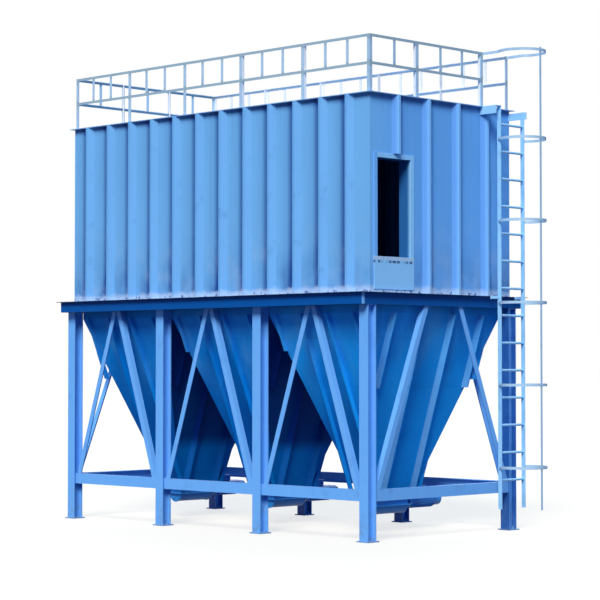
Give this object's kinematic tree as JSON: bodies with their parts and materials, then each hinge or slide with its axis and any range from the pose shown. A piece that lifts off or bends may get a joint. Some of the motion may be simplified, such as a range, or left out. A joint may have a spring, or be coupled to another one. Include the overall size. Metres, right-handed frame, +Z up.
{
  "type": "baghouse dust collector",
  "caption": "Fixed dust filter: ribbed sheet housing with a side inlet on a braced platform, ribbed hoppers with discharge valves below, railed roof and a caged ladder.",
  "frame": {"origin": "centre of the bounding box at ground level, which the ladder cage on the +X end shifts off the column grid's centre", "axes": "+Z up, +X towards the end with the inlet and the ladder, +Y from the front long side to the back"},
  "size_m": [5.5774, 2.72, 5.305],
  "materials": {
    "frame_paint": "semi-gloss paint",
    "platform_paint": "semi-gloss paint",
    "hopper_paint": "semi-gloss paint",
    "housing_paint": "semi-gloss paint",
    "rail_paint": "semi-gloss paint"
  },
  "bodies": {
    "root": {"column_front_1": "frame_paint", "column_front_2": "frame_paint", "column_front_3": "frame_paint", "column_front_4": "frame_paint", "column_back_1": "frame_paint", "column_back_2": "frame_paint", "column_back_3": "frame_paint", "column_back_4": "frame_paint", "platform_beam_front": "platform_paint", "platform_beam_back": "platform_paint", "platform_beam_left": "platform_paint", "platform_beam_right": "platform_paint", "platform_grid": "platform_paint", "platform_plate": "platform_paint", "lower_beam_front": "frame_paint", "lower_beam_back": "frame_paint", "lower_beam_left": "frame_paint", "lower_beam_right": "frame_paint", "braces_front": "frame_paint", "braces_back": "frame_paint", "braces_left": "frame_paint", "braces_right": "frame_paint", "hopper_1": "hopper_paint", "hopper_2": "hopper_paint", "hopper_3": "hopper_paint", "discharge_valve_1": "hopper_paint", "discharge_valve_2": "hopper_paint", "discharge_valve_3": "hopper_paint", "valve_drives": "hopper_paint", "front_wall": "housing_paint", "back_wall": "housing_paint", "left_wall": "housing_paint", "right_wall": "housing_paint", "roof_plate": "housing_paint", "stiffeners_front": "housing_paint", "stiffeners_back": "housing_paint", "stiffeners_left": "housing_paint", "stiffeners_right": "housing_paint", "inlet_frame": "housing_paint", "railing_front": "rail_paint", "railing_back": "rail_paint", "railing_left": "rail_paint", "railing_right": "rail_paint", "ladder": "rail_paint", "ladder_cage": "rail_paint"}
  },
  "joints": []
}
